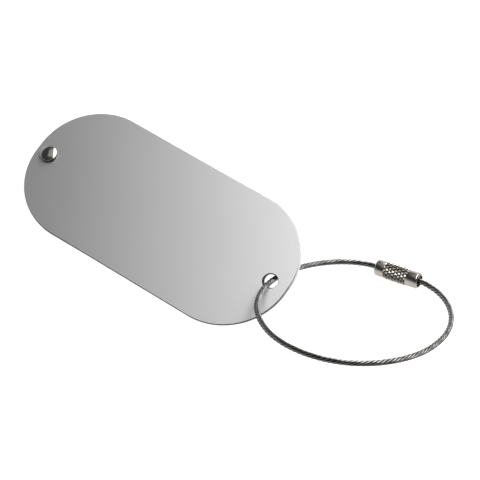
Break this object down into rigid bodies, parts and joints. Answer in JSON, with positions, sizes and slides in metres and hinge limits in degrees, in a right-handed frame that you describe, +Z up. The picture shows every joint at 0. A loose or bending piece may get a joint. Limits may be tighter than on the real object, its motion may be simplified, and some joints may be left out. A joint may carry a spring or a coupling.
{
  "type": "luggage tag",
  "caption": "Luggage tag of two riveted aluminium plates with rounded ends, closed by a wire rope loop with a knurled screw barrel.",
  "frame": {"origin": "under the middle of the plates' and rivet's box, on the surface the tag lies on", "axes": "+X along the plates from the rivet to the cable hole, +Z up; the tag lies on its near rounded corner by the rivet and on the screw barrel"},
  "size_m": [0.1298, 0.0477, 0.0286],
  "materials": {
    "plate_aluminium": "satin, very fine blasted grain, bright chamfered edge",
    "label_paper": "plain matt label stock",
    "washer_nylon": "plain nylon",
    "rivet_steel": "polished, faintly marked",
    "rope_steel": "drawn wire, bright on the crowns and dark between the strands",
    "barrel_steel": "polished collars with a diamond knurled grip",
    "ferrule_steel": "turned"
  },
  "bodies": {
    "front": {"front_plate": "plate_aluminium", "rivet": "rivet_steel", "rivet_cap": "rivet_steel", "spacer_washer": "washer_nylon"},
    "rear": {"rear_plate": "plate_aluminium", "address_label": "label_paper"},
    "loop": {"cable": "rope_steel", "captive_ferrule": "ferrule_steel", "screw_ferrule": "ferrule_steel"},
    "sleeve": {"barrel_sleeve": "barrel_steel"}
  },
  "joints": [
    {"name": "plate_swivel", "type": "hinge", "parent": "front", "child": "rear", "pos_m": [-0.03832, -0.00048, 0.00315], "axis": [-0.0628, -0.1561, 0.9857], "range_deg": [0, 0.3]},
    {"name": "loop_swing", "type": "hinge", "parent": "front", "child": "loop", "pos_m": [0.03713, -0.00014, 0.00801], "axis": [-0.998, 0.0098, -0.062], "range_deg": [0, 80]},
    {"name": "barrel_twist", "type": "hinge", "parent": "loop", "child": "sleeve", "pos_m": [0.06315, 0.02343, 0.00384], "axis": [0.9634, 0.0887, 0.2531], "range_deg": [0, 1350]}
  ]
}
